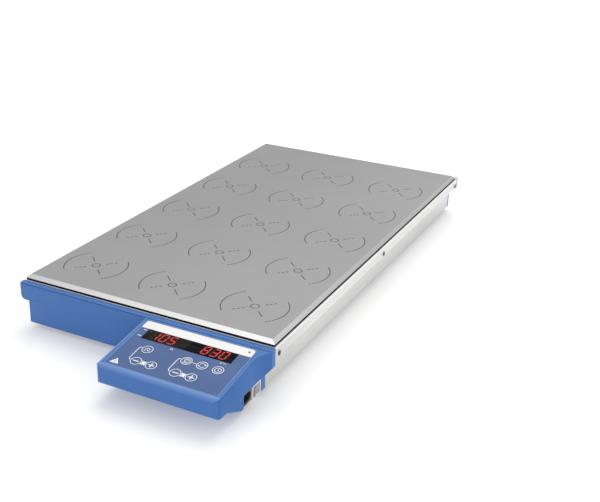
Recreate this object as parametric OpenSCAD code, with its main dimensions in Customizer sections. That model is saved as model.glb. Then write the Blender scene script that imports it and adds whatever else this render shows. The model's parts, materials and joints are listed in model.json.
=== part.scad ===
// Heated magnetic stirrer with a grid of stirring positions under one flat plate.
// X runs from left to right, Y from front to back, Z up. The origin lies on the bench
// under the middle of the whole outline. Every size is in millimetres.

/* [Stations] */
// Rows of stirring positions, front to back
rows = 5; // [3:1:6]
// Stirring positions in each row
cols = 3; // [3:1:4]
// Distance between neighbouring positions
station_pitch = 90; // [86:1:100]

/* [Plate] */
// Plate edge to the centre of the outer column
side_margin = 46.5; // [44:0.5:55]
// Plate front edge to the centre of the front row
front_margin = 51; // [46:1:60]
// Plate rear edge to the centre of the rear row
rear_margin = 90.5; // [86:0.5:110]
// Thickness of the heating plate
plate_t = 3.5; // [3:0.1:5]
// Width of the bevel round the plate
plate_bevel = 3.6; // [2:0.1:5]

/* [Body] */
// Height from the bench to the plate
total_h = 52.4; // [51:0.1:60]
// Height of the rubber feet
foot_h = 5; // [4:0.5:8]
// Dark gap between the plate and the body
seam_gap = 2.1; // [1:0.1:2.5]
// Sheet thickness of the panels
sheet_t = 1.2; // [1:0.1:1.5]
// How far the end caps stand out past the side panels
cap_rim = 1.9; // [1:0.1:3]
// How far the lower wall is set in below the upper band
step_in = 9.4; // [6:0.2:12]
// Height of the upper band
band_h = 18; // [16:0.2:20]
// Radius under the upper band
band_r = 4.8; // [3:0.2:6]

/* [Control box] */
// How far the control box reaches in front of the body
box_reach = 76.7; // [76:0.1:90]
// Width of the control box
box_w = 122; // [117:0.2:124]
// Fall of its top, in degrees
box_slope = 7.4; // [4:0.2:8]
// Height of its underside at the front
box_lip_z = 16.8; // [16:0.2:20]
// Wall thickness of the mouldings
wall_t = 2.5; // [2:0.1:3]

/* [Keys] */
// Distance between neighbouring keys
key_pitch = 15.5; // [14:0.1:16]
// Radius of a key
key_r = 5.9; // [5:0.1:6.2]
// Travel of a key
key_travel = 0.4; // [0.2:0.1:0.6]

/* [Drive] */
// Working radius of the rotor pulleys
pulley_r = 12; // [10:0.5:14]
// Working radius of the motor pulley
motor_pulley_r = 6; // [5:0.5:8]
// Length of the magnet carrier
carrier_l = 50; // [40:1:56]
// Radius of the fixed axles
axle_r = 3; // [2.5:0.1:4]

/* [Hidden] */

$fn = 48;
eps = 0.01;
arc_steps = 8;

// Plan sizes
plate_w = (cols - 1) * station_pitch + 2 * side_margin;
plate_l = (rows - 1) * station_pitch + front_margin + rear_margin;
front_gap = 7.6;
rear_gap = 12.6;
front_cap_t = 6.4;
rear_cap_t = 2.2;
rear_rim = 0.3;
overall_l = box_reach + front_gap + plate_l + rear_gap;
y_tip = -overall_l / 2;
y_front = y_tip + box_reach;
y_rear = overall_l / 2;
y_panel0 = y_front + front_cap_t;
y_panel1 = y_rear - rear_cap_t;
y_plate0 = y_front + front_gap;
y_plate1 = y_plate0 + plate_l;
half_w = plate_w / 2;
low_half_w = half_w - step_in;

// Heights
z_plate = total_h - plate_t;
z_deck = z_plate - seam_gap;
z_band = z_deck - band_h;
floor_t = 1.5;
z_floor = foot_h + floor_t;

// Heating stack under the plate
heater_t = 1.2;
board_t = 5;
stack_inset = 16.5;
seal_inset = 0.1;
seal_w = 4;
deck_opening_inset = 14.5;
deck_flange_h = 12;
deck_flange_gap = 0.3;

// Side screws
screw_z = 36.9;
screw_r = 1.4;
screw_head_r = 2.5;
screw_head_t = 0.5;
screw_l = 6;
screw_y = [y_panel0 + 10.6, (y_panel0 + y_panel1) / 2 + 2, y_panel1 - 7];

// Control box
x_box1 = low_half_w + cap_rim;
x_box0 = x_box1 - box_w;
z_box = z_deck - 1;
box_corner_r = 6.5;
box_top_r = 5.8;
box_low_r = 4;
box_left_r = 4;
slope_l = 95;
box_lip_l = 15;
box_rise_l = 24.5;
flare_l = 16;
flare_z0 = 18.5;
flare_z1 = 29.6;
flare_lean = atan(step_in / (flare_z1 - flare_z0));
foil_t = 0.5;
foil_x0 = 13;
foil_x1 = 125.6;
foil_s0 = 1.6;
foil_s1 = 72;
foil_r = 2.5;
window_x0 = 22.2;
window_w = 91.4;
window_s0 = 13.8;
window_h = 14.8;
window_t = 0.9;
fit_gap = 0.1;

// Keys: distance from the left edge line and down the slope
key_s_upper = 40.8;
key_s_lower = 58.8;
heat_x = 37.8;
stir_x = 77.4;
key_t = 0.9;
key_proud = 0.1;

// Recess in the right flank, with the inlet and the switch
recess_y0 = y_front - 32.8;
recess_l = 31.4;
recess_z0 = foot_h;
recess_h = 12.9;
recess_depth = 17;
inlet_l = 16.2;
inlet_set_back = 1.2;
inlet_depth = 13.5;
inlet_mouth_h = 8;
inlet_pin_r = 1.2;
inlet_pin_gap = 8.6;
inlet_pin_l = 8;
switch_l = 15;
switch_y = recess_y0 + recess_l - switch_l / 2 - fit_gap;
switch_z = recess_z0 + recess_h / 2;
switch_set_back = 0.2;
switch_bezel = 1.3;
rocker_tilt = 7;
rocker_pin_r = 0.9;
x_rocker = x_box1 - switch_set_back - 1.6;

// Drive, from the bearing plate upwards
z_bearing = 14;
bearing_t = 2;
shoulder_t = 1.7;
rotor_gap = 0.3;
z_rotor = z_bearing + bearing_t + shoulder_t + rotor_gap;
flange_t = 1;
groove_h = 5;
tier_h = groove_h + flange_t;
flange_extra = 2;
carrier_t = 3.5;
carrier_w = 14;
magnet_r = 6;
magnet_t = 4.5;
magnet_reach = carrier_l / 2 - 7;
hub_r = 7;
z_carrier = z_rotor + flange_t + 2 * tier_h;
z_hub_top = z_carrier + carrier_t + 2.6;
clip_gap = 0.5;
clip_t = 0.8;
clip_r = 5;
z_axle_top = z_hub_top + clip_gap + clip_t + 0.4;
run_gap = 0.1;
belt_t = 1.2;
belt_w = 4.2;
belt_gap = 0.35;

// Motor behind the rear row of the right column
motor_r = 23;
motor_reach = 52;
motor_top_z = 23.4;
shaft_r = 2.5;
shaft_bottom_z = z_floor + 4.5;
motor_x = station_x(cols);
motor_y = station_y(rows) + motor_reach;

// Feet
foot_r = 8;
foot_inset_x = 22;
foot_y = [y_panel0 + 31.6, (y_panel0 + y_panel1) / 2 + 4.4, y_panel1 - 23];
foot_screw_r = 2;

function station_x(col) = (col - (cols + 1) / 2) * station_pitch;
function station_y(row) = y_plate0 + front_margin + (row - 1) * station_pitch;

// The belts run through the stations in one chain: down the right column from the motor,
// back up the next one, and so on. Step k of the chain has this column and row.
function chain_col(k) = cols - floor(k / rows);
function chain_row(k) = floor(k / rows) % 2 == 0 ? rows - k % rows : 1 + k % rows;

function arc_points(centre, r, a0, a1, n = arc_steps) =
    [for (i = [0 : n]) centre + r * [cos(a0 + (a1 - a0) * i / n), sin(a0 + (a1 - a0) * i / n)]];

// Points of a corner at b, between a and c, rounded with radius r
function unit(v) = v / norm(v);
function round_corner(a, b, c, r, n = arc_steps) =
    let (u = unit(a - b), v = unit(c - b), half = acos(u * v) / 2,
         centre = b + unit(u + v) * r / sin(half),
         from = b + u * r / tan(half) - centre, to = b + v * r / tan(half) - centre,
         a0 = atan2(from[1], from[0]), turn = atan2(to[1], to[0]) - a0,
         sweep = turn > 180 ? turn - 360 : turn < -180 ? turn + 360 : turn)
    arc_points(centre, r, a0, a0 + sweep, n);

function reversed(points) = [for (i = [len(points) - 1 : -1 : 0]) points[i]];
function mirrored(points) = [for (p = reversed(points)) [-p[0], p[1]]];

// Right half of the body's cross-section in X and Z, set in by a distance
function half_section(inset, rim, top, bottom) = concat(
    [[half_w + rim - inset, top]],
    arc_points([half_w + rim - band_r, z_band + cap_rim - rim + band_r], band_r - inset, 0, -90),
    [[low_half_w + rim - inset, z_band + cap_rim - rim + inset]],
    [[low_half_w + rim - inset, bottom]]);

module body_section(inset, rim, top, bottom) {
    right = half_section(inset, rim, top, bottom);
    polygon(concat(right, mirrored(right)));
}

// Right half of the front cap's cross-section, where it meets the flare of the control box
function flared_half(inset, top, bottom) =
    let (lift = inset * tan(flare_lean / 2))
    [[half_w + cap_rim - inset, top], [half_w + cap_rim - inset, flare_z1 + lift],
        [low_half_w + cap_rim - inset, flare_z0 + lift], [low_half_w + cap_rim - inset, bottom]];

module front_section(inset, top, bottom) {
    polygon(concat(flared_half(inset, top, bottom),
        mirrored(half_section(inset, cap_rim, top, bottom))));
}

// A drawing in X and Z, drawn out along Y from y0 to y1
module along_y(y0, y1) {
    translate([0, y1, 0]) rotate([90, 0, 0]) linear_extrude(y1 - y0) children();
}

// A drawing in Y and Z, drawn out along X from x0 to x1
module along_x(x0, x1) {
    translate([x0, 0, 0]) rotate([90, 0, 90]) linear_extrude(x1 - x0) children();
}

module box(low, high) {
    translate(low) cube(high - low);
}

module at_stations() {
    for (row = [1 : rows], col = [1 : cols])
        translate([station_x(col), station_y(row), 0]) children();
}

module at_feet() {
    for (side = [-1, 1], y = foot_y)
        translate([side * (low_half_w - foot_inset_x), y, 0]) children();
}

// Places a drawing on the sloping panel: X as on the body, s down the slope
module on_panel(x, s) {
    translate([0, y_front, z_box]) rotate([box_slope, 0, 0]) translate([x, -s, 0]) children();
}

// ---- Plate and heating stack ----

module bevel_profile(width) {
    lip = 0.5;
    polygon([
        [-width / 2, 0], [width / 2, 0], [width / 2, lip], [width / 2 - plate_bevel, plate_t],
        [plate_bevel - width / 2, plate_t], [-width / 2, lip]
    ]);
}

module plate() {
    color("darkgray")
    translate([0, (y_plate0 + y_plate1) / 2, z_plate])
    intersection() {
        along_y(-plate_l / 2, plate_l / 2) bevel_profile(plate_w);
        along_x(-plate_w / 2, plate_w / 2) bevel_profile(plate_l);
    }
}

module stack_layer(inset, z0, z1) {
    box([inset - half_w, y_plate0 + inset, z0], [half_w - inset, y_plate1 - inset, z1]);
}

module heater_mat() {
    color("orangered") stack_layer(stack_inset, z_plate - heater_t, z_plate);
}

module insulation_board() {
    color("ivory") stack_layer(stack_inset + 1, z_plate - heater_t - board_t, z_plate - heater_t);
}

// Two-wire sensor in a metal block, held up against the insulation between four stations
module temperature_sensor() {
    block = [16, 10, 3];
    lead_r = 0.8;
    lead_l = 30;
    z = z_plate - heater_t - board_t - block[2];
    color("silver")
    translate([station_x(1) + station_pitch / 2, station_y(1) + station_pitch / 2, z]) {
        translate([-block[0] / 2, -block[1] / 2, 0]) cube(block);
        for (side = [-1, 1])
            translate([side * 3, -block[1] / 2 + 1, block[2] / 2])
                rotate([90, 0, 0]) cylinder(r = lead_r, h = lead_l);
    }
}

module plate_seal() {
    color("black")
    difference() {
        stack_layer(seal_inset, z_deck, z_plate);
        stack_layer(seal_inset + seal_w, z_deck - eps, z_plate + eps);
    }
}

// ---- Sheet metal body ----

module screw_holes(r) {
    for (y = screw_y)
        translate([0, y, screw_z]) rotate([0, 90, 0]) cylinder(r = r, h = 2 * half_w + 2, center = true);
}

module deck_frame() {
    x_out = half_w - sheet_t - deck_flange_gap;
    color("silver")
    difference() {
        union() {
            box([-half_w, y_panel0, z_deck - sheet_t], [half_w, y_panel1, z_deck]);
            for (side = [-1, 1]) {
                x = side * (x_out - sheet_t / 2);
                box([x - sheet_t / 2, y_panel0, z_deck - deck_flange_h],
                    [x + sheet_t / 2, y_panel1, z_deck - sheet_t + eps]);
            }
        }
        stack_layer(deck_opening_inset, z_deck - sheet_t - eps, z_deck + eps);
        screw_holes(screw_r);
    }
}

module side_panel() {
    outer = half_section(0, 0, z_deck - sheet_t, foot_h);
    inner = half_section(sheet_t, 0, z_deck - sheet_t, foot_h);
    difference() {
        along_y(y_panel0, y_panel1) polygon(concat(outer, reversed(inner)));
        screw_holes(screw_r + 0.3);
    }
}

module right_side_panel() {
    color("gainsboro") side_panel();
}

module left_side_panel() {
    color("gainsboro") mirror([1, 0, 0]) side_panel();
}

module vent_slots() {
    slot_w = 3;
    slot_l = 46;
    for (side = [-1, 1], i = [0 : 5])
        translate([side * 60 - slot_l / 2, motor_y - 24 + i * 3 * slot_w, foot_h - eps])
            cube([slot_l, slot_w, floor_t + 2 * eps]);
}

module base_pan() {
    flange_h = 12;
    x_out = low_half_w - sheet_t;
    color("silver")
    difference() {
        box([-x_out, y_panel0, foot_h], [x_out, y_panel1, foot_h + flange_h]);
        box([sheet_t - x_out, y_panel0 + sheet_t, z_floor],
            [x_out - sheet_t, y_panel1 - sheet_t, foot_h + flange_h + eps]);
        vent_slots();
        at_feet() translate([0, 0, foot_h - eps]) cylinder(r = foot_screw_r, h = floor_t + 2 * eps);
    }
}

// ---- Moulded end caps ----

// Side view of the front cap: its top falls forward and its front edges are eased
module front_cap_view() {
    ease = 1;
    fall = 0.2;
    top_ease = 0.4;
    polygon([
        [y_panel0, foot_h], [y_front + ease, foot_h], [y_front, foot_h + ease],
        [y_front, z_deck - fall - top_ease], [y_front + top_ease, z_deck - fall], [y_panel0, z_deck]
    ]);
}

module front_cap() {
    groove = 0.7;
    pocket_t = 3;
    cable_window = [50, 12];
    color("steelblue")
    difference() {
        intersection() {
            along_y(y_front, y_panel0) front_section(0, z_deck, foot_h);
            along_x(-half_w - cap_rim, half_w + cap_rim) front_cap_view();
        }
        along_y(y_front + pocket_t, y_panel0 + eps)
            front_section(pocket_t, z_deck - pocket_t, foot_h + pocket_t);
        // shadow line under the top edge, left of the control box
        box([-half_w - 2 * cap_rim, y_front - eps, z_deck - 1.3],
            [x_box0, y_front + groove, z_deck - 0.6]);
        translate([x_box0 + box_w / 2 - cable_window[0] / 2, y_front - eps, z_band - cable_window[1]])
            cube([cable_window[0], pocket_t + 2 * eps, cable_window[1]]);
    }
}

module rear_cap_view() {
    ease = 1;
    polygon([
        [y_panel1, foot_h], [y_rear - ease, foot_h], [y_rear, foot_h + ease],
        [y_rear, z_deck - 2.1], [y_rear - ease, z_deck - 1.1], [y_panel1, z_deck]
    ]);
}

module rear_cap() {
    color("steelblue")
    intersection() {
        along_y(y_panel1, y_rear) body_section(0, rear_rim, z_deck, foot_h);
        along_x(-half_w - rear_rim, half_w + rear_rim) rear_cap_view();
    }
}

// ---- Control box ----

// Side view of the control box in Y and Z, set in by a distance
function box_view(inset) =
    let (fall = tan(box_slope), y0 = y_tip + inset, z_top = z_box - inset / cos(box_slope),
         rear_top = [y_front, z_top], front_top = [y0, z_top - fall * (y_front - y0)],
         front_low = [y0, box_lip_z + inset], lip_end = [y_tip + box_lip_l, box_lip_z + inset],
         rise_end = [y_tip + box_lip_l + box_rise_l, foot_h + inset], rear_low = [y_front, foot_h + inset])
    concat([rear_top], round_corner(rear_top, front_top, front_low, box_top_r - inset),
        round_corner(front_top, front_low, lip_end, box_low_r - inset), [lip_end, rise_end, rear_low]);

// Plan of the control box, with rounded front corners
module box_plan(inset) {
    r = box_corner_r - inset;
    x0 = x_box0 + inset;
    x1 = x_box1 - inset;
    y0 = y_tip + inset;
    polygon(concat([[x1, y_front], [x0, y_front]],
        arc_points([x0 + r, y0 + r], r, 180, 270), arc_points([x1 - r, y0 + r], r, 270, 360)));
}

// Cross-section of the control box square to its slope, with a rounded left edge
module box_section(inset) {
    r = box_left_r - inset;
    x0 = x_box0 + inset;
    x1 = x_box1 - inset;
    polygon(concat([[x0, -total_h], [x1, -total_h], [x1, total_h], [x0 + r, total_h]],
        arc_points([x0 + r, -inset - r], r, 90, 180)));
}

module box_solid(inset) {
    intersection() {
        along_x(x_box0 + inset, x_box1 - inset) polygon(box_view(inset));
        translate([0, 0, foot_h]) linear_extrude(total_h) box_plan(inset);
        on_panel(0, 0) rotate([90, 0, 0]) linear_extrude(slope_l) box_section(inset);
    }
}

// Flare of the box's right flank, out to the rim of the front cap
module flank_flare() {
    steps = 10;
    x_in = x_box1 - wall_t;
    x_rim = half_w + cap_rim;
    edge = [for (i = [0 : steps]) let (t = i / steps)
        [x_box1 + step_in * t * t, y_front - flare_l * (1 - t)]];
    intersection() {
        translate([0, 0, foot_h]) linear_extrude(total_h)
            polygon(concat(edge, [[x_in, y_front], [x_in, y_front - flare_l]]));
        along_x(x_in, x_rim) polygon(box_view(0));
        along_y(y_front - flare_l, y_front)
            polygon([[x_in, flare_z0], [x_box1, flare_z0], [x_rim, flare_z1], [x_rim, total_h],
                [x_in, total_h]]);
    }
}

// Centres of the keys on the panel, as X and the distance down the slope
key_heat_at = [heat_x, key_s_upper];
key_temp_down_at = [heat_x, key_s_lower];
key_temp_up_at = [heat_x + key_pitch, key_s_lower];
key_stir_at = [stir_x, key_s_upper];
key_reverse_at = [stir_x + key_pitch, key_s_upper];
key_timer_at = [stir_x + 2 * key_pitch, key_s_upper];
key_speed_down_at = [stir_x, key_s_lower];
key_speed_up_at = [stir_x + key_pitch, key_s_lower];
key_places = [key_heat_at, key_temp_down_at, key_temp_up_at, key_stir_at, key_reverse_at,
    key_timer_at, key_speed_down_at, key_speed_up_at];

module foil_plan(grow) {
    r = foil_r + grow;
    x0 = foil_x0 - grow;
    x1 = foil_x1 + grow;
    y0 = -foil_s1 - grow;
    y1 = -foil_s0 + grow;
    polygon(concat(
        arc_points([x0 + r, y0 + r], r, 180, 270), arc_points([x1 - r, y0 + r], r, 270, 360),
        arc_points([x1 - r, y1 - r], r, 0, 90), arc_points([x0 + r, y1 - r], r, 90, 180)));
}

module control_housing() {
    display_hole = 1.5;
    base_rim = 3;
    color("royalblue")
    difference() {
        union() {
            box_solid(0);
            flank_flare();
        }
        difference() {
            box_solid(wall_t);
            // block round the inlet and the switch
            box([x_box1 - recess_depth - 2, recess_y0 - 2, foot_h],
                [x_box1, y_front, recess_z0 + recess_h + 2]);
        }
        // flat bed for the foil
        on_panel(0, 0) translate([0, 0, -foil_t]) linear_extrude(foil_t + 1) foil_plan(fit_gap);
        // room for each key under the foil
        for (at = key_places)
            on_panel(at[0], at[1]) translate([0, 0, -foil_t - key_t])
                cylinder(r = key_r + fit_gap, h = key_t + foil_t);
        // seat and opening for the display
        on_panel(window_x0, window_s0 + window_h) translate([0, 0, -window_t])
            cube([window_w, window_h, window_t]);
        on_panel(window_x0 + display_hole, window_s0 + window_h - display_hole)
            translate([0, 0, -2 * wall_t])
                cube([window_w - 2 * display_hole, window_h - 2 * display_hole, 2 * wall_t]);
        // recess in the right flank, open below
        translate([x_box1 - recess_depth, recess_y0, recess_z0 - eps])
            cube([recess_depth + 1, recess_l, recess_h + eps]);
        // opening for the base
        box([x_box0 + base_rim + wall_t, y_front - 34, foot_h - eps],
            [x_box1 - recess_depth - base_rim - 2, y_front - base_rim, foot_h + 2 * wall_t]);
        // way for the wires at the back
        box([x_box0 + wall_t, y_front - wall_t, foot_h + wall_t],
            [x_box1 - wall_t - recess_depth, y_front + 1, z_band]);
    }
}

module control_base() {
    rim = 3 + fit_gap;
    color("midnightblue")
    box([x_box0 + rim + wall_t, y_front - 34 + fit_gap, foot_h],
        [x_box1 - recess_depth - rim - 2, y_front - rim, foot_h + wall_t]);
}

module control_foil() {
    color("slategray")
    difference() {
        on_panel(0, 0) translate([0, 0, -foil_t]) linear_extrude(foil_t) foil_plan(0);
        for (at = key_places)
            on_panel(at[0], at[1]) translate([0, 0, -foil_t - eps])
                cylinder(r = key_r + fit_gap, h = foil_t + 2 * eps);
        on_panel(window_x0, window_s0 + window_h) translate([0, 0, -window_t])
            cube([window_w, window_h, window_t + eps]);
    }
}

module display_window() {
    color("black")
    on_panel(window_x0 + fit_gap, window_s0 + window_h - fit_gap) translate([0, 0, -window_t])
        cube([window_w - 2 * fit_gap, window_h - 2 * fit_gap, window_t]);
}

module display_board() {
    board = [96, 20, 1.6];
    digit = [8, 10.4, 3];
    depth = wall_t + 0.4;
    groups = [30, 80];
    color("darkgreen")
    on_panel(window_x0 + window_w / 2 - board[0] / 2, window_s0 + window_h / 2 + board[1] / 2)
        translate([0, 0, -depth - board[2] - 1]) cube(board);
    color("darkgreen")
    for (start = groups, i = [0 : 2])
        on_panel(start + i * 9, window_s0 + window_h / 2 + digit[1] / 2)
            translate([0, 0, -depth - 1 - eps]) cube(digit);
}

module control_board() {
    board = [104, 54, 1.6];
    z = 24;
    at = [x_box0 + 6, y_front - 68];
    chips = [[12, 12, 14], [40, 14, 9], [66, 20, 12], [20, 34, 8], [52, 38, 16], [84, 40, 8]];
    color("seagreen") {
        translate([at[0], at[1], z]) cube(board);
        for (c = chips)
            translate([at[0] + c[0], at[1] + c[1], z + board[2] - eps]) cube([c[2], c[2] * 0.7, 2.4]);
    }
}

module power_board() {
    board = [140, 48, 1.6];
    z = z_floor + 5;
    at = [-low_half_w + 20, motor_y - 26];
    cans = [[18, 14, 8], [38, 14, 8], [108, 30, 6], [124, 30, 6]];
    post_r = 2.5;
    color("olivedrab") {
        translate([at[0], at[1], z]) cube(board);
        translate([at[0] + 56, at[1] + 8, z + board[2] - eps]) cube([40, 32, 16]);
        for (c = cans)
            translate([at[0] + c[0], at[1] + c[1], z + board[2] - eps]) cylinder(r = c[2], h = 18);
        for (x = [6, board[0] - 6], y = [6, board[1] - 6])
            translate([at[0] + x, at[1] + y, z_floor]) cylinder(r = post_r, h = z - z_floor + eps);
    }
}

// One round membrane key, with its printed face level with the foil
module key(at) {
    color("slateblue")
    on_panel(at[0], at[1]) translate([0, 0, key_proud - key_t]) cylinder(r = key_r, h = key_t);
}

// ---- Inlet and power switch in the flank ----

module inlet_socket() {
    wall = 1;
    body = [recess_depth - inlet_set_back, inlet_l - 2 * fit_gap, recess_h - 2 * fit_gap];
    low = [x_box1 - recess_depth, recess_y0 + fit_gap, recess_z0 + fit_gap];
    x_mouth = low[0] + body[0];
    r = inlet_mouth_h / 2;
    color("black") {
        difference() {
            translate(low) cube(body);
            // mouth with round ends
            for (y = [low[1] + wall + r, low[1] + body[1] - wall - r])
                translate([x_mouth - inlet_depth, y, low[2] + body[2] / 2])
                    rotate([0, 90, 0]) cylinder(r = r, h = inlet_depth + 1);
            translate([x_mouth - inlet_depth, low[1] + wall + r, low[2] + body[2] / 2 - r])
                cube([inlet_depth + 1, body[1] - 2 * wall - 2 * r, 2 * r]);
        }
        for (side = [-1, 1])
            translate([x_mouth - inlet_depth - eps, low[1] + body[1] / 2 + side * inlet_pin_gap / 2,
                low[2] + body[2] / 2])
                rotate([0, 90, 0]) cylinder(r = inlet_pin_r, h = inlet_pin_l);
    }
}

module rocker_frame() {
    size = [recess_depth - switch_set_back, switch_l, recess_h - 2 * fit_gap];
    low = [x_box1 - recess_depth, switch_y - switch_l / 2, recess_z0 + fit_gap];
    opening_depth = 6;
    color("white")
    difference() {
        translate(low) cube(size);
        translate([low[0] + size[0] - opening_depth, low[1] + switch_bezel, low[2] + switch_bezel])
            cube([opening_depth + 1, size[1] - 2 * switch_bezel, size[2] - 2 * switch_bezel]);
        translate([x_rocker, switch_y, low[2] + switch_bezel / 2])
            cylinder(r = rocker_pin_r + run_gap, h = size[2] - switch_bezel);
    }
}

// Rocker with a hollowed face, standing with its rear half pressed in
module power_rocker() {
    long = switch_l / 2 - switch_bezel - 0.4;
    foot = long - 1.8;
    tall = recess_h - 2 * fit_gap - 2 * switch_bezel - 0.4;
    face = 2.4;
    dish = 1.2;
    color("dimgray")
    translate([x_rocker, switch_y, switch_z]) rotate([0, 0, rocker_tilt]) {
        translate([0, 0, -tall / 2]) linear_extrude(tall)
            polygon([[-2.6, -foot], [0.6, -long], [face, -long], [face - dish, 0], [face, long],
                [0.6, long], [-2.6, foot]]);
        cylinder(r = rocker_pin_r, h = tall + 0.9, center = true);
    }
}

// ---- Drive ----

module bearing_plate() {
    edge = 20;
    x = station_x(cols) + edge;
    color("lightsteelblue")
    difference() {
        box([-x, station_y(1) - edge, z_bearing], [x, station_y(rows) + edge, z_bearing + bearing_t]);
        at_stations() translate([0, 0, z_bearing - eps]) cylinder(r = axle_r, h = bearing_t + 2 * eps);
    }
}

module spacers() {
    inset = 12;
    color("gold")
    for (row = [1 : rows - 1], side = [-1, 1])
        translate([side * (station_x(cols) + inset), station_y(row) + station_pitch / 2, z_floor])
            cylinder(r = 4, h = z_bearing - z_floor);
}

// Fixed axle with a shoulder that carries the rotor
module axle_pins() {
    tail = 3;
    color("silver")
    at_stations() {
        translate([0, 0, z_bearing - tail]) cylinder(r = axle_r, h = z_axle_top - z_bearing + tail);
        translate([0, 0, z_bearing + bearing_t]) cylinder(r = 2 * axle_r, h = shoulder_t);
    }
}

module axle_clips() {
    color("dimgray")
    at_stations() translate([0, 0, z_hub_top + clip_gap])
        difference() {
            cylinder(r = clip_r, h = clip_t);
            translate([0, 0, -eps]) cylinder(r = axle_r, h = clip_t + 2 * eps);
        }
}

// Two-tier pulley of a given working radius, from z = 0 upwards
module pulley(r, tiers) {
    for (i = [0 : tiers])
        translate([0, 0, i * tier_h]) cylinder(r = r + flange_extra, h = flange_t);
    cylinder(r = r, h = tiers * tier_h + flange_t);
}

// Magnet carrier with its two-tier pulley: neighbours stand a quarter turn apart
module rotor(row, col) {
    color((row + col) % 2 == 0 ? "darkorange" : "orange")
    translate([station_x(col), station_y(row), 0]) rotate([0, 0, 45 + 90 * ((row + col) % 2)])
        difference() {
            union() {
                translate([0, 0, z_rotor]) pulley(pulley_r, 2);
                translate([-magnet_reach, -carrier_w / 2, z_carrier - eps])
                    cube([2 * magnet_reach, carrier_w, carrier_t + eps]);
                for (side = [-1, 1])
                    translate([side * magnet_reach, 0, z_carrier - eps]) {
                        cylinder(r = carrier_w / 2, h = carrier_t + eps);
                        cylinder(r = magnet_r, h = carrier_t + magnet_t);
                    }
                translate([0, 0, z_rotor]) cylinder(r = hub_r, h = z_hub_top - z_rotor);
            }
            translate([0, 0, z_rotor - eps])
                cylinder(r = axle_r + run_gap, h = z_hub_top - z_rotor + 2 * eps);
        }
}

module motor_housing() {
    neck_r = 6;
    color("gray")
    translate([motor_x, motor_y, 0])
        difference() {
            union() {
                translate([0, 0, z_floor]) cylinder(r = motor_r, h = motor_top_z - z_floor - 2);
                translate([0, 0, z_floor]) cylinder(r = neck_r, h = motor_top_z - z_floor);
            }
            translate([0, 0, shaft_bottom_z]) cylinder(r = shaft_r + run_gap, h = motor_top_z);
        }
}

module motor_rotor() {
    shaft_top = z_carrier + 1;
    color("goldenrod")
    translate([motor_x, motor_y, 0]) {
        translate([0, 0, shaft_bottom_z + rotor_gap])
            cylinder(r = shaft_r, h = shaft_top - shaft_bottom_z - rotor_gap);
        translate([0, 0, z_rotor + tier_h]) pulley(motor_pulley_r, 1);
    }
}

// Outline round two pulleys, the second one a distance away along Y
function belt_outline(reach, r1, r2) =
    let (lean = asin((r1 - r2) / reach))
    concat(arc_points([0, 0], r1, 180 - lean, 360 + lean, 3 * arc_steps),
        arc_points([0, reach], r2, lean, 180 - lean, 3 * arc_steps));

// Closed belt from one axle to the next, standing clear of both pulleys
module belt(from, to, r1, r2, tier) {
    reach = norm(to - from);
    inner = belt_gap;
    outer = belt_gap + belt_t;
    translate([from[0], from[1], z_rotor + tier * tier_h + flange_t + (groove_h - belt_w) / 2])
        rotate([0, 0, atan2(to[1] - from[1], to[0] - from[0]) - 90])
            linear_extrude(belt_w)
                difference() {
                    polygon(belt_outline(reach, r1 + outer, r2 + outer));
                    polygon(belt_outline(reach, r1 + inner, r2 + inner));
                }
}

// The belts of the chain lie on the two tiers in turn
module chain_belts(first) {
    for (k = [first : 2 : rows * cols - 2])
        belt([station_x(chain_col(k)), station_y(chain_row(k))],
            [station_x(chain_col(k + 1)), station_y(chain_row(k + 1))], pulley_r, pulley_r, first);
}

module belts_lower() {
    color("black") chain_belts(0);
}

module belts_upper() {
    color("black") {
        chain_belts(1);
        belt([station_x(cols), station_y(rows)], [motor_x, motor_y], pulley_r, motor_pulley_r, 1);
    }
}

// ---- Fasteners and feet ----

module side_screws() {
    hex_r = 1.2;
    color("dimgray")
    for (side = [0, 1]) mirror([side, 0, 0])
        for (y = screw_y)
            translate([half_w, y, screw_z]) rotate([0, 90, 0])
                difference() {
                    union() {
                        cylinder(r = screw_head_r, h = screw_head_t);
                        translate([0, 0, -screw_l]) cylinder(r = screw_r, h = screw_l + eps);
                    }
                    translate([0, 0, screw_head_t - 0.6]) cylinder(r = hex_r, h = 1, $fn = 6);
                }
}

module base_screws() {
    color("silver")
    at_feet() {
        translate([0, 0, foot_h - 3]) cylinder(r = foot_screw_r, h = 3 + floor_t + eps);
        translate([0, 0, z_floor]) cylinder(r = 2 * foot_screw_r, h = 2);
    }
}

module feet() {
    color("black")
    at_feet()
        difference() {
            cylinder(r = foot_r, h = foot_h);
            translate([0, 0, foot_h - 3]) cylinder(r = foot_screw_r, h = 3 + eps);
        }
}

plate();
heater_mat();
insulation_board();
temperature_sensor();
plate_seal();
deck_frame();
base_pan();
left_side_panel();
right_side_panel();
front_cap();
rear_cap();
control_housing();
control_base();
control_foil();
display_window();
display_board();
control_board();
power_board();
key(key_heat_at);  // key_heat
key(key_temp_down_at);  // key_temp_down
key(key_temp_up_at);  // key_temp_up
key(key_stir_at);  // key_stir
key(key_reverse_at);  // key_reverse
key(key_timer_at);  // key_timer
key(key_speed_down_at);  // key_speed_down
key(key_speed_up_at);  // key_speed_up
rocker_frame();
power_rocker();
inlet_socket();
motor_housing();
motor_rotor();
bearing_plate();
spacers();
axle_pins();
axle_clips();
belts_lower();
belts_upper();
side_screws();
base_screws();
feet();
for (row = [1 : rows], col = [1 : cols])
    rotor(row, col);
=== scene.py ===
import json
import math

import bmesh
import bpy
from mathutils import Euler, Matrix, Vector


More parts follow.
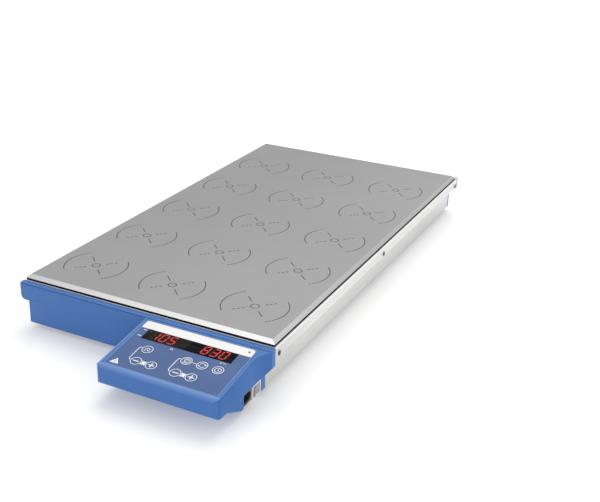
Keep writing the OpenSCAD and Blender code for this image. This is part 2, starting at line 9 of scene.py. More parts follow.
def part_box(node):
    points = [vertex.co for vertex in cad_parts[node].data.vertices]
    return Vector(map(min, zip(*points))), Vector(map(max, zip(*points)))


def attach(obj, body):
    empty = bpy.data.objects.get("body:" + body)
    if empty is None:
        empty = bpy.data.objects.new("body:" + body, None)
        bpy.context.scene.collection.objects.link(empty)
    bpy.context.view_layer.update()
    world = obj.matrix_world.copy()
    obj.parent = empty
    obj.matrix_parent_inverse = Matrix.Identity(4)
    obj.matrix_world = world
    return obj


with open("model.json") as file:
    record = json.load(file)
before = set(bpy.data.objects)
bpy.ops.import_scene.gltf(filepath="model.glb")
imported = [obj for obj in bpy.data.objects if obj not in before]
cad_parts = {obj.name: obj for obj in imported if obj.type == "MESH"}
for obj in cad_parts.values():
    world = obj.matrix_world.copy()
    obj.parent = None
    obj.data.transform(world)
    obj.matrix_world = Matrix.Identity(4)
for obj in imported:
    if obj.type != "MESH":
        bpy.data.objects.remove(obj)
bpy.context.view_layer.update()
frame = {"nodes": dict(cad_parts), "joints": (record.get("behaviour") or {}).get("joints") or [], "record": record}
record = frame["record"]
scene = bpy.context.scene
MM = 0.001


# ---- Places, all from the frame ----

KEYS = ("key_heat", "key_temp_down", "key_temp_up", "key_stir", "key_reverse", "key_timer",
        "key_speed_down", "key_speed_up")
ROW_UP = 40.8           # the upper row of keys, in mm down the panel's slope, as in the CAD
ROW_LOW = ROW_UP + 18.0
KEY_PROUD = 0.1
KEY_THICK = 0.9


def centre(node):
    low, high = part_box(node)
    return (low + high) / 2


# The sloping panel: its normal is the way the keys come back up, and one key fixes its place
joint_of = {joint["name"]: joint for joint in frame["joints"]}
PANEL_OUT = -Vector(joint_of["key_heat_press"]["axis"]).normalized()
PANEL_RIGHT = Vector((1, 0, 0))
PANEL_DOWN = PANEL_RIGHT.cross(PANEL_OUT)
panel_point = centre("key_heat") + PANEL_OUT * (KEY_THICK / 2 - KEY_PROUD) * MM
plate_low, plate_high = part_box("plate")


def on_panel(x, s, h=0.0):
    """A point on the sloping panel: x to the right, s down the slope, h above it, all in mm."""
    across = PANEL_RIGHT * (x - panel_point.x / MM) * MM
    down = PANEL_DOWN * (s - ROW_UP) * MM
    return panel_point + across + down + PANEL_OUT * h * MM


def on_plate(x, y, h=0.0):
    """A point on the plate's top, in mm."""
    return Vector((x * MM, y * MM, plate_high.z + h * MM))


# ---- Shader nodes ----

def new_material(name):
    material = bpy.data.materials.new(name)
    material.use_nodes = True
    tree = material.node_tree
    tree.nodes.clear()
    out = tree.nodes.new("ShaderNodeOutputMaterial")
    bsdf = tree.nodes.new("ShaderNodeBsdfPrincipled")
    tree.links.new(bsdf.outputs[0], out.inputs[0])
    return material, tree, bsdf


def noise(tree, scale, detail=4.0, stretch=(1, 1, 1), rough=0.55, turn=0.0):
    coords = tree.nodes.new("ShaderNodeTexCoord")
    mapping = tree.nodes.new("ShaderNodeMapping")
    mapping.inputs["Scale"].default_value = stretch
    mapping.inputs["Rotation"].default_value = (0, 0, turn)
    texture = tree.nodes.new("ShaderNodeTexNoise")
    texture.inputs["Scale"].default_value = scale
    texture.inputs["Detail"].default_value = detail
    texture.inputs["Roughness"].default_value = rough
    tree.links.new(coords.outputs["Object"], mapping.inputs["Vector"])
    tree.links.new(mapping.outputs["Vector"], texture.inputs["Vector"])
    return texture.outputs["Fac"]


def ranged(tree, fac, low, high, from_low=0.3, from_high=0.7):
    """low to high as fac goes from from_low to from_high; the default span is most of a noise's."""
    span = tree.nodes.new("ShaderNodeMapRange")
    span.inputs["From Min"].default_value = from_low
    span.inputs["From Max"].default_value = from_high
    span.inputs["To Min"].default_value = low
    span.inputs["To Max"].default_value = high
    tree.links.new(fac, span.inputs["Value"])
    return span.outputs["Result"]


def mixed(tree, fac, a, b):
    """A colour between a and b; each may be a colour or a socket."""
    mix = tree.nodes.new("ShaderNodeMix")
    mix.data_type = "RGBA"
    tree.links.new(fac, mix.inputs["Factor"])
    for socket, value in ((mix.inputs["A"], a), (mix.inputs["B"], b)):
        if isinstance(value, tuple):
            socket.default_value = (*value, 1.0)
        else:
            tree.links.new(value, socket)
    return mix.outputs["Result"]


def between(tree, fac, a, b):
    """A number between two number sockets."""
    mix = tree.nodes.new("ShaderNodeMix")
    for name, value in (("Factor", fac), ("A", a), ("B", b)):
        tree.links.new(value, mix.inputs[name])
    return mix.outputs["Result"]


def combined(tree, kind, a, b):
    """Arithmetic on two numbers or sockets."""
    maths = tree.nodes.new("ShaderNodeMath")
    maths.operation = kind
    for socket, value in zip(maths.inputs, (a, b)):
        if isinstance(value, (int, float)):
            socket.default_value = value
        else:
            tree.links.new(value, socket)
    return maths.outputs[0]


def product(tree, a, b):
    return combined(tree, "MULTIPLY", a, b)


def weighted(tree, a, b, share):
    """The given share of a and the rest of b."""
    return combined(tree, "ADD", product(tree, a, share), product(tree, b, 1 - share))


def bump(tree, bsdf, height, strength, distance):
    relief = tree.nodes.new("ShaderNodeBump")
    relief.inputs["Strength"].default_value = strength
    relief.inputs["Distance"].default_value = distance
    tree.links.new(height, relief.inputs["Height"])
    tree.links.new(relief.outputs["Normal"], bsdf.inputs["Normal"])


def tint(colour, k):
    return tuple(min(1.0, c * k) for c in colour)


def facing(tree, axis, low, high):
    """0 to 1 as the surface's own normal turns along an axis, from low to high."""
    geometry = tree.nodes.new("ShaderNodeNewGeometry")
    parts = tree.nodes.new("ShaderNodeSeparateXYZ")
    tree.links.new(geometry.outputs["True Normal"], parts.inputs[0])
    return ranged(tree, parts.outputs[axis], 0.0, 1.0, low, high)


def object_parts(tree):
    """The place on the object, in metres of the CAD frame, as three sockets."""
    coords = tree.nodes.new("ShaderNodeTexCoord")
    parts = tree.nodes.new("ShaderNodeSeparateXYZ")
    tree.links.new(coords.outputs["Object"], parts.inputs[0])
    return parts.outputs


def place_along(tree, axis, low, high):
    """0 to 1 along an axis of the CAD frame, from low to high in metres."""
    return ranged(tree, object_parts(tree)[axis], 0.0, 1.0, low, high)


def recoloured(material, make):
    """Puts make(tree, colour socket) between a surface's colour and its shader."""
    tree = material.node_tree
    base = tree.nodes["Principled BSDF"].inputs["Base Color"]
    now = base.links[0].from_socket
    tree.links.new(make(tree, now), base)
    return material


# ---- Materials ----

GRAIN_DEPTH = 0.00006
COAT_ROUGH = 0.12
WEAR_MOST = 0.35


def surface(name, colour, rough, metal=0.0, spread=0.06, grain=2200.0, grain_bump=0.12, rough_spread=0.08,
            stretch=(1, 1, 1), coat=0.0, specular=0.5, wear=None, blotch=9.0, top=None):
    """A moulded, painted or metal surface: broad and fine colour variation, uneven gloss, grain in the
    bump, a few scuffs where wear gives their colour, and a painted highlight in the top colour on upward faces."""
    material, tree, bsdf = new_material(name)
    broad = noise(tree, blotch, 3.0)
    fine = noise(tree, grain, 3.0, stretch)
    shade = ranged(tree, weighted(tree, broad, fine, 0.6), 0.0, 1.0)
    shown = mixed(tree, shade, tint(colour, 1 - spread), tint(colour, 1 + spread))
    if wear is not None:
        scuff = noise(tree, 160.0, detail=8.0, stretch=(1, 0.25, 1), rough=0.75, turn=0.6)
        shown = mixed(tree, ranged(tree, scuff, 0.0, WEAR_MOST, 0.66, 0.76), shown, wear)
    if top is not None:
        # painted highlight: upward faces take the top colour
        shown = mixed(tree, facing(tree, "Z", 0.25, 0.55), shown, top)
    tree.links.new(shown, bsdf.inputs["Base Color"])
    gloss = ranged(tree, noise(tree, 34.0, 5.0), rough - rough_spread, rough + rough_spread)
    tree.links.new(gloss, bsdf.inputs["Roughness"])
    bsdf.inputs["Metallic"].default_value = metal
    bsdf.inputs["Specular IOR Level"].default_value = specular
    if coat:
        bsdf.inputs["Coat Weight"].default_value = coat
        bsdf.inputs["Coat Roughness"].default_value = COAT_ROUGH
    bump(tree, bsdf, fine, grain_bump, GRAIN_DEPTH)
    return material


BLUE = (0.049, 0.144, 0.396)
# painted highlight for the rounded edges, and painted light and shade for the right flank
BLUE_PAINTED_HIGHLIGHT = (0.140, 0.248, 0.520)
BLUE_FLANK_LIT_REAR = (0.057, 0.164, 0.462)
BLUE_FLANK_SHADED_FRONT = (0.019, 0.122, 0.380)
FOIL = (0.056, 0.107, 0.252)
PLATE = (0.259, 0.259, 0.260)
# painted highlight on the bare front bevel, from its left end to its right
BARE_SHEEN_LEFT = (0.56, 0.565, 0.58)
BARE_SHEEN_RIGHT = (0.95, 0.95, 0.95)
PLATE_SHADE_LEFT_FRONT, PLATE_SHADE_LEFT_REAR, PLATE_LIGHT_RIGHT = 0.98, 0.86, 1.06      # painted shade and light on the coating, times PLATE
RIGHT_BEVEL_HIGHLIGHT_FRONT, RIGHT_BEVEL_HIGHLIGHT_REAR = 1.97, 1.46                                # painted highlight on the right bevel, times PLATE
SPECKLE = 0.07
SILVER = (0.745, 0.745, 0.74)
# painted highlight along the side panels' upper edge
SILVER_HIGHLIGHT = (0.93, 0.93, 0.93)
INLET = (0.016, 0.017, 0.020)
# painted light on the inlet's outer face
INLET_PAINTED_LIGHT = (0.115, 0.105, 0.10)


def coating(tree, speck):
    """The plate's grey coating, with painted shade to the left and the rear, painted light to the right, and a
    painted highlight on the right bevel.
    """
    deep = place_along(tree, "Y", plate_low.y, plate_high.y)
    across = place_along(tree, "X", plate_low.x + 0.08, plate_high.x)

    # painted shade to the left and rear, painted light to the right
    def lit_and_shaded(k):
        left = mixed(tree, deep, tint(PLATE, PLATE_SHADE_LEFT_FRONT * k), tint(PLATE, PLATE_SHADE_LEFT_REAR * k))
        return mixed(tree, across, left, tint(PLATE, PLATE_LIGHT_RIGHT * k))

    broad = noise(tree, 5.0, 3.0)
    shade = ranged(tree, weighted(tree, broad, speck, 0.45), 0.0, 1.0)
    grey = mixed(tree, shade, lit_and_shaded(1 - SPECKLE), lit_and_shaded(1 + SPECKLE))
    # painted highlight on the right bevel, brighter at the front
    back = place_along(tree, "Y", plate_low.y, plate_low.y + 0.2)
    bevel = mixed(tree, back, tint(PLATE, RIGHT_BEVEL_HIGHLIGHT_FRONT), tint(PLATE, RIGHT_BEVEL_HIGHLIGHT_REAR))
    return mixed(tree, facing(tree, "X", 0.3, 0.6), grey, bevel)


def plate_material():
    """Grey coating, and bare metal on the front bevel whose colour is a painted highlight, brighter towards the
    right.
    """
    material, tree, bsdf = new_material("plate_enamel")
    coated = facing(tree, "Y", -0.55, -0.25)
    speck = noise(tree, 1500.0, 4.0)
    # bare metal with a painted highlight, brighter towards the right
    bare = mixed(tree, place_along(tree, "X", plate_low.x, plate_high.x), BARE_SHEEN_LEFT, BARE_SHEEN_RIGHT)
    tree.links.new(mixed(tree, coated, bare, coating(tree, speck)), bsdf.inputs["Base Color"])
    brushed = ranged(tree, noise(tree, 420.0, 3.0, (1, 0.02, 1)), 0.26, 0.40)
    satin = ranged(tree, noise(tree, 22.0, 5.0), 0.46, 0.58)
    tree.links.new(between(tree, coated, brushed, satin), bsdf.inputs["Roughness"])
    tree.links.new(ranged(tree, coated, 0.30, 0.0, 0.0, 1.0), bsdf.inputs["Metallic"])
    bump(tree, bsdf, product(tree, speck, coated), 0.10, 0.00008)
    return material


SPLIT_AT = (67.0, 21.2)     # a point of the window's dividing line, on the panel, in mm
SPLIT_LEAN = 0.24           # the line leans: x - 0.24 y is the same all along it
SPLIT_HALF = 0.0004


def window_material():
    """Glossy black film, a little lighter on the left, as in two joined filters."""
    material, tree, bsdf = new_material("window_film")
    at = object_parts(tree)
    across = combined(tree, "ADD", at["X"], product(tree, at["Y"], -SPLIT_LEAN))
    edge = on_panel(*SPLIT_AT)
    middle = edge.x - SPLIT_LEAN * edge.y
    side = ranged(tree, across, 0.0, 1.0, middle - SPLIT_HALF, middle + SPLIT_HALF)
    dust = ranged(tree, noise(tree, 300.0, 6.0), 0, 1)
    left = mixed(tree, dust, (0.017, 0.014, 0.013), (0.022, 0.018, 0.017))
    right = mixed(tree, dust, (0.004, 0.004, 0.004), (0.007, 0.007, 0.007))
    tree.links.new(mixed(tree, side, left, right), bsdf.inputs["Base Color"])
    tree.links.new(ranged(tree, noise(tree, 40.0), 0.06, 0.10), bsdf.inputs["Roughness"])
    bsdf.inputs["IOR"].default_value = 1.06
    bump(tree, bsdf, noise(tree, 60.0), 0.02, 0.0001)
    return material


def glow(name, colour, strength):
    """A lit segment: light of its own over a darker base of the same colour."""
    material, tree, bsdf = new_material(name)
    core = ranged(tree, noise(tree, 900.0, 3.0), 0, 1)
    tree.links.new(mixed(tree, core, tint(colour, 0.85), colour), bsdf.inputs["Emission Color"])
    tree.links.new(mixed(tree, core, tint(colour, 0.35), tint(colour, 0.5)), bsdf.inputs["Base Color"])
    bsdf.inputs["Emission Strength"].default_value = strength
    bsdf.inputs["Specular IOR Level"].default_value = 0.12
    bsdf.inputs["Roughness"].default_value = 0.4
    return material


def board_material():
    """Green circuit board with a pattern of tracks."""
    material, tree, bsdf = new_material("circuit_board")
    coords = tree.nodes.new("ShaderNodeTexCoord")
    brick = tree.nodes.new("ShaderNodeTexBrick")
    brick.inputs["Scale"].default_value = 260.0
    brick.inputs["Mortar Size"].default_value = 0.06
    brick.inputs["Color1"].default_value = (0.012, 0.10, 0.045, 1)
    brick.inputs["Color2"].default_value = (0.014, 0.12, 0.05, 1)
    brick.inputs["Mortar"].default_value = (0.03, 0.20, 0.09, 1)
    tree.links.new(coords.outputs["Object"], brick.inputs["Vector"])
    tree.links.new(brick.outputs["Color"], bsdf.inputs["Base Color"])
    tree.links.new(ranged(tree, noise(tree, 80.0), 0.28, 0.42), bsdf.inputs["Roughness"])
    bump(tree, bsdf, brick.outputs["Fac"], 0.3, 0.00005)
    return material


def blue_material():
    """Blue moulding, with a painted highlight along the rounded edges beside the sloping panel, and painted light
    and shade on the right flank, darker towards the front.
    """
    material = surface("blue_moulding", BLUE, 0.42, spread=0.05, grain=2600, grain_bump=0.22, specular=0.22)
    low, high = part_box("control_housing")

    def edges(tree):
        # painted highlight on the rounded edges beside the panel and at the front tip
        up = facing(tree, "Z", 0.60, 0.75)
        right = product(tree, facing(tree, "X", 0.10, 0.16), facing(tree, "X", 0.52, 0.42))
        left = product(tree, facing(tree, "X", -0.06, -0.20), facing(tree, "X", -0.85, -0.65))
        side_highlights = product(tree, up, combined(tree, "ADD", right, left))
        at_tip = place_along(tree, "Y", low.y + 0.012, low.y + 0.010)
        tip_highlight = product(tree, facing(tree, "Y", -0.15, -0.22), facing(tree, "Z", 0.35, 0.95))
        return combined(tree, "MAXIMUM", side_highlights, product(tree, at_tip, tip_highlight))

    def lit_and_shaded(tree, now):
        now = mixed(tree, edges(tree), now, BLUE_PAINTED_HIGHLIGHT)
        # painted light and shade on the right flank, darker towards the front
        flank = mixed(tree, place_along(tree, "Y", high.y, low.y + 0.02), BLUE_FLANK_LIT_REAR, BLUE_FLANK_SHADED_FRONT)
        return mixed(tree, product(tree, facing(tree, "X", 0.80, 0.90), 0.85), now, flank)

    return recoloured(material, lit_and_shaded)


def inlet_material():
    """Black moulding, with painted light turning its outer face grey towards the switch."""
    material = surface("inlet_moulding", INLET, 0.38, spread=0.15, grain=2200, grain_bump=0.2)
    low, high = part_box("inlet_socket")

    def lit_towards_switch(tree, now):
        # painted light on the outer face, towards the switch
        outer = place_along(tree, "X", high.x - 0.0008, high.x - 0.0004)
        right = place_along(tree, "Y", low.y + 0.006, low.y + 0.013)
        return mixed(tree, product(tree, outer, right), now, INLET_PAINTED_LIGHT)

    return recoloured(material, lit_towards_switch)


def sheet_material():
    """Light sheet, with a painted highlight along its upper edge, and painted shade towards the bench and the
    front.
    """
    material = surface("silver_sheet", SILVER, 0.40, metal=0.25, spread=0.03, grain=900,
                       stretch=(1, 0.06, 1), grain_bump=0.10, rough_spread=0.06, wear=(0.78, 0.78, 0.77))
    low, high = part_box("right_side_panel")

    def shaded(tree, now):
        # painted shade towards the front and near the bench
        front = place_along(tree, "Y", low.y + 0.075, low.y)
        near = place_along(tree, "Z", 0.026, 0.005)
        now = mixed(tree, product(tree, front, 0.75), now, tint(SILVER, 0.78))
        now = mixed(tree, product(tree, near, 0.35), now, tint(SILVER, 0.76))
        # painted highlight along the upper edge
        edge = place_along(tree, "Z", high.z - 0.0022, high.z - 0.0012)
        return mixed(tree, edge, now, SILVER_HIGHLIGHT)

    return recoloured(material, shaded)


MATERIALS = {
    "plate_enamel": plate_material(),
    "window_film": window_material(),
    "circuit_board": board_material(),
    "heater_mat": surface("heater_mat", (0.45, 0.12, 0.06), 0.7, grain=1200, grain_bump=0.4),
    "insulation": surface("insulation", (0.80, 0.78, 0.70), 0.9, spread=0.12, grain=700, grain_bump=0.9),
    "zinc_steel": surface("zinc_steel", (0.58, 0.59, 0.60), 0.38, metal=0.9, spread=0.10, grain=240,
                          blotch=60, grain_bump=0.08, wear=(0.70, 0.70, 0.70)),
    "black_rubber": surface("black_rubber", (0.004, 0.004, 0.0045), 0.8, spread=0.25, grain=1600,
                            grain_bump=0.5, specular=0.12),
    # painted highlight: the deck's upward faces lighter than its edge faces
    "deck_sheet": surface("deck_sheet", (0.30, 0.30, 0.30), 0.42, metal=0.1, grain=1800, grain_bump=0.1,
                          top=(0.60, 0.60, 0.60)),
    "silver_sheet": sheet_material(),
    "blue_moulding": blue_material(),
    "blue_foil": surface("blue_foil", FOIL, 0.46, spread=0.04, grain=3600, grain_bump=0.25, specular=0.2),
    "key_film": surface("key_film", FOIL, 0.44, spread=0.04, grain=3600, grain_bump=0.22, specular=0.2),
    "switch_frame": surface("switch_frame", (0.92, 0.92, 0.91), 0.34, spread=0.03, grain=2400,
                            grain_bump=0.08),
    "switch_rocker": surface("switch_rocker", (0.31, 0.31, 0.31), 0.40, spread=0.05, grain=2400,
                             grain_bump=0.2),
    "inlet_moulding": inlet_material(),
    "motor_case": surface("motor_case", (0.45, 0.46, 0.48), 0.36, metal=0.9, grain=500,
                          stretch=(1, 1, 0.08)),
    "machined_steel": surface("machined_steel", (0.62, 0.62, 0.63), 0.25, metal=1.0, grain=900,
                              stretch=(1, 1, 6)),
    "brass_spacer": surface("brass_spacer", (0.72, 0.50, 0.20), 0.30, metal=1.0, grain=900,
                            stretch=(1, 1, 6)),
    "spring_steel": surface("spring_steel", (0.20, 0.20, 0.22), 0.35, metal=0.9),
    "belt_rubber": surface("belt_rubber", (0.02, 0.02, 0.02), 0.8, spread=0.25, grain=900, grain_bump=0.6),
    "dark_screw": surface("dark_screw", (0.10, 0.10, 0.105), 0.36, metal=0.85, grain=1500,
                          stretch=(1, 0.2, 1), wear=(0.45, 0.45, 0.46)),
    "foot_rubber": surface("foot_rubber", (0.018, 0.018, 0.019), 0.78, spread=0.25, grain=1300,
                           grain_bump=0.6),
    "rotor_moulding": surface("rotor_moulding", (0.70, 0.26, 0.04), 0.45, grain=1500),
}
PRINT_WHITE = surface("print_white", (0.72, 0.72, 0.72), 0.40, spread=0.02, grain=3000, grain_bump=0.1,
                      specular=0.4)
PRINT_MARK = surface("print_mark", (0.034, 0.034, 0.036), 0.60, spread=0.10, grain=2600, grain_bump=0.2)
PRINT_BLUE = surface("print_blue", (0.10, 0.17, 0.36), 0.45, spread=0.05, grain=3000)
PRINT_EDGE = surface("print_edge", (0.17, 0.28, 0.52), 0.34, spread=0.04, grain=3000, grain_bump=0.1)
PIN_METAL = surface("pin_metal", (0.75, 0.70, 0.58), 0.22, metal=1.0, grain=1200, stretch=(0.1, 1, 1))
LED_DARK = surface("led_lens", (0.05, 0.06, 0.06), 0.12, spread=0.1, grain=900, coat=0.6)
DIGIT_RED = glow("digit_red", (0.74, 0.045, 0.045), 0.44)
DIGIT_GHOST = surface("digit_ghost", (0.014, 0.010, 0.009), 0.3, spread=0.1, grain=2600, specular=0.06)

slot_of = {row["node"]: row["material_slot"] for row in record["subparts"]}
for name, obj in frame["nodes"].items():
    material = MATERIALS[slot_of[name]]
    for material_slot in obj.material_slots:
        material_slot.link = "OBJECT"
        material_slot.material = material
    if not obj.material_slots:
        obj.data.materials.append(material)


# ---- CAD nodes that show get eased edges ----

WELD_WITHIN = 0.000004
FLAT_WITHIN = math.radians(0.4)
EDGE_FROM = math.radians(28.0)

# each node's edge width in mm, and the steps across it
EASED = {"plate": (0.25, 2), "control_housing": (1.5, 4), "front_cap": (0.55, 3), "rear_cap": (0.55, 3),
         "left_side_panel": (0.5, 3), "right_side_panel": (0.5, 3), "deck_frame": (0.2, 2),
         "rocker_frame": (0.3, 2), "power_rocker": (0.35, 3), "inlet_socket": (0.3, 2), "feet": (0.8, 3),
         "display_window": (0.12, 2), "side_screws": (0.15, 2)}
for key_name in KEYS:
    EASED[key_name] = (0.12, 2)


def ease(node, width, segments):
    """Joins the mesh's split points, clears flat facets, and rounds the sharp edges."""
    obj = frame["nodes"][node]
    weld = obj.modifiers.new("weld", "WELD")
    weld.merge_threshold = WELD_WITHIN
    planar = obj.modifiers.new("planar", "DECIMATE")
    planar.decimate_type = "DISSOLVE"
    planar.angle_limit = FLAT_WITHIN
    edges = obj.modifiers.new("edges", "BEVEL")
    edges.width = width * MM
    edges.segments = segments
    edges.limit_method = "ANGLE"
    edges.angle_limit = EDGE_FROM
    edges.use_clamp_overlap = True
    edges.harden_normals = True
    edges.miter_outer = "MITER_ARC"
    for face in obj.data.polygons:
        face.use_smooth = True


for node, (width, segments) in EASED.items():
    ease(node, width, segments)


# ---- Thin printed shapes, drawn in two directions and given a small thickness ----

def polar(u, v, r, degrees):
    """The point at a distance and an angle from (u, v)."""
    t = math.radians(degrees)
    return u + r * math.cos(t), v + r * math.sin(t)


def neighbours(n):
    """Each place on a ring of n places, with the next one round."""
    return [(i, (i + 1) % n) for i in range(n)]


def add_piece(bm, name, material, body):
    """Turns a finished bmesh into a piece that rides on a body."""
    mesh = bpy.data.meshes.new(name)
    bmesh.ops.recalc_face_normals(bm, faces=bm.faces)
    bm.to_mesh(mesh)
    bm.free()
    mesh.materials.append(material)
    piece = bpy.data.objects.new(name, mesh)
    scene.collection.objects.link(piece)
    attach(piece, body)
    return piece


class Print:
    """Collects strokes and filled shapes on a surface given by place(u, v, h), all in mm."""

    def __init__(self, place, low=-0.02, high=0.03):
        self.place, self.low, self.high = place, low, high
        self.bm = bmesh.new()

    def _point(self, u, v, h):
        return self.bm.verts.new(self.place(u, v, h))

    def _section(self, points, i, width, closed):
        """The four corners of a line's section at its point i, square to the line there."""
        here = Vector(points[i])
        behind = (here - Vector(points[i - 1])).normalized()
        ahead = (Vector(points[(i + 1) % len(points)]) - here).normalized()
        if not closed and i == 0:
            behind = ahead
        if not closed and i == len(points) - 1:
            ahead = behind
        along = (behind + ahead).normalized()
        mitre = 1.0 / max(0.5, along.dot(ahead))
        side = Vector((-along.y, along.x)) * width / 2 * mitre
        left, right = here + side, here - side
        corners = ((left, self.high), (right, self.high), (right, self.low), (left, self.low))
        return [self._point(corner.x, corner.y, h) for corner, h in corners]

    def fill(self, outline):
        top = [self._point(u, v, self.high) for u, v in outline]
        low = [self._point(u, v, self.low) for u, v in outline]
        self.bm.faces.new(top)
        self.bm.faces.new(low[::-1])
        for i, j in neighbours(len(outline)):
            self.bm.faces.new((top[j], top[i], low[i], low[j]))

    def stroke(self, points, width, closed=False):
        """A line of even width with square ends, as one closed strip."""
        sections = [self._section(points, i, width, closed) for i in range(len(points))]
        for here, after in zip(sections, sections[1:] + (sections[:1] if closed else [])):
            for i, j in neighbours(4):
                self.bm.faces.new((here[i], here[j], after[j], after[i]))
        if not closed:
            self.bm.faces.new(sections[0][::-1])
            self.bm.faces.new(sections[-1])

    def arc(self, u, v, r, start, end, width, steps=None):
        """An arc from one angle to another, in degrees; a full turn is a closed ring."""
        steps = steps or max(3, int(abs(end - start) / 12) + 1)
        full = abs(end - start) >= 359.9
        count = steps if full else steps + 1
        points = [polar(u, v, r, start + (end - start) * i / steps) for i in range(count)]
        self.stroke(points, width, closed=full)

    def disc(self, u, v, r, steps):
        self.fill([polar(u, v, r, 360 * i / steps) for i in range(steps)])

    def done(self, name, material, body):
        return add_piece(self.bm, name, material, body)


def rounded(x0, s0, x1, s1, radii, steps=5):
    """Outline of a rectangle whose corners, from (x1, s1) on by way of (x0, s1), have these radii."""
    out = []
    for (x, s, start), r in zip(((x1, s1, 0), (x0, s1, 90), (x0, s0, 180), (x1, s0, 270)), radii):
        u = x - math.copysign(r, x - (x0 + x1) / 2)
        v = s - math.copysign(r, s - (s0 + s1) / 2)
        out += [polar(u, v, r, start + 90 * i / steps) for i in range(steps + 1)]
    return out


# ---- Station marks on the plate ----

# Distances from the middle of a station in mm, angles in degrees
LINE_W = 0.98
DASH_W = 1.3
RING_R = 4.05
BAR_FROM, BAR_TO = 10.1, 22.0
DASHES_FROM = (10.1, 14.5, 18.9)
DASH_L = 2.6
ARC_R = 32.0
ARC_FROM, ARC_TO = -28.5, 45
DOTS_AT = (-43.4, -37.6, -31.8)
DOT_HALF = 1.75


def ray(pen, u, v, degrees, r0, r1, width):
    """A straight line outwards from (u, v)."""
    pen.stroke([polar(u, v, r0, degrees), polar(u, v, r1, degrees)], width)


def half_station(pen, u, v, turn):
    """One arc with three dots at one end, and half of the cross: a bar and a row of dashes."""
    ray(pen, u, v, 135 + turn, BAR_FROM, BAR_TO, LINE_W)
    for r in DASHES_FROM:
        ray(pen, u, v, 45 + turn, r, r + DASH_L, DASH_W)
    pen.arc(u, v, ARC_R, ARC_FROM + turn, ARC_TO + turn, LINE_W, 22)
    for dot in DOTS_AT:
        pen.arc(u, v, ARC_R, dot - DOT_HALF + turn, dot + DOT_HALF + turn, DASH_W, 2)


marks = Print(on_plate, -0.03, 0.015)
for joint in frame["joints"]:
    if joint["name"].startswith("rotor_"):
        station_x, station_y, _ = joint["pos_m"]
        marks.arc(station_x / MM, station_y / MM, RING_R, 0, 360, LINE_W, 32)
        half_station(marks, station_x / MM, station_y / MM, 0)
        half_station(marks, station_x / MM, station_y / MM, 180)
marks.done("station_marks", PRINT_MARK, "body")


# ---- Print on the foil ----

foil_left, foil_right = (corner.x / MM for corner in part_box("control_foil"))
FOIL_UPPER, FOIL_LOWER = 1.6, 72.0      # the foil's edges, in mm down the panel's slope, as in the CAD
BORDER_IN = 0.3
BORDER_R = 2.3
STRIP_LOWER = 13.6


def foil_strip():
    """White strip along the top of the foil."""
    pen = Print(on_panel)
    corner_radii = (1.2, 0.4, 2.2, 3.0)
    pen.fill(rounded(foil_left + 0.6, FOIL_UPPER + 1.4, foil_right - 0.8, STRIP_LOWER, corner_radii))
    pen.done("foil_strip", PRINT_WHITE, "body")


def power_light():
    """Small dark lens at the right end of the strip."""
    pen = Print(on_panel, 0.02, 0.5)
    pen.disc(foil_right - 5.3, FOIL_UPPER + 6.0, 1.15, 20)
    edges = pen.done("power_light", LED_DARK, "body").modifiers.new("edges", "BEVEL")
    edges.width = 0.3 * MM
    edges.segments = 3


def foil_border():
    """Light line round the edge of the foil."""
    pen = Print(on_panel, -0.3, 0.02)
    edge = rounded(foil_left + BORDER_IN, FOIL_UPPER + BORDER_IN, foil_right - BORDER_IN,
                   FOIL_LOWER - BORDER_IN, (BORDER_R,) * 4)
    pen.stroke(edge, 0.42, closed=True)
    pen.done("foil_border", PRINT_EDGE, "body")


def link_down(pen, x):
    """Line from a key's ring down to the minus key's."""
    pen.stroke([(x - 5.4, ROW_UP - 1.0), (x - 7.0, ROW_UP - 0.7), (x - 8.0, ROW_UP + 0.6),
                (x - 8.0, ROW_LOW - 2.4), (x - 7.2, ROW_LOW - 0.7), (x - 5.7, ROW_LOW + 0.2)], 0.75)


def waisted_bar(pen, x):
    """Filled bar from the minus key to the plus key, narrower in the middle."""
    a, d = x + 5.2, x + 10.3
    pen.fill([(a - 0.3, ROW_LOW), (a - 0.5, ROW_LOW + 3.2), (a + 1.4, ROW_LOW + 2.2),
              (d - 1.4, ROW_LOW + 2.2), (d + 0.5, ROW_LOW + 3.2), (d + 0.3, ROW_LOW),
              (d + 0.5, ROW_LOW - 3.2), (d - 1.4, ROW_LOW - 2.2), (a + 1.4, ROW_LOW - 2.2),
              (a - 0.5, ROW_LOW - 3.2)])


def foil_print():
    """Links and bars between the keys, and the small marks round the display."""
    pen = Print(on_panel)
    heat_x = centre("key_heat").x / MM
    stir_x = centre("key_stir").x / MM
    for x in (heat_x, stir_x):
        link_down(pen, x)
        waisted_bar(pen, x)
    pen.stroke([(stir_x + 5.9, ROW_UP), (stir_x + 9.7, ROW_UP)], 0.75)
    pen.stroke([(17.2, 25.6), (20.8, 25.6)], 0.9)
    pen.stroke([(17.6, 16.4), (21.0, 16.4)], 0.7)
    pen.arc(56.3, 31.6, 0.9, 0, 360, 0.36, 16)
    pen.stroke([(57.9, 30.7), (57.9, 32.6)], 0.4)
    pen.arc(105.9, 30.9, 0.95, 20, 320, 0.4, 14)
    pen.stroke([(107.8, 30.9), (110.4, 30.9)], 0.5)
    pen.done("foil_print", PRINT_WHITE, "body")


def foil_triangle():
    """Plain triangle in the corner, with a bar in it."""
    sign = Print(on_panel)
    sign.fill([(25.9, 68.8), (21.4, 61.6), (17.0, 69.0)])
    sign.done("foil_triangle", PRINT_WHITE, "body")
    bar = Print(on_panel, 0.02, 0.045)
    bar.stroke([(21.4, 64.2), (21.4, 67.6)], 0.8)
    bar.done("foil_triangle_bar", PRINT_BLUE, "body")


foil_strip()
power_light()
foil_border()
foil_print()
foil_triangle()


# ---- Rings and symbols on the keys ----

KEY_RING_R = 4.9
KEY_LINE = 0.62
SIGN_LINE = 1.15
SIGN_HALF = 2.9


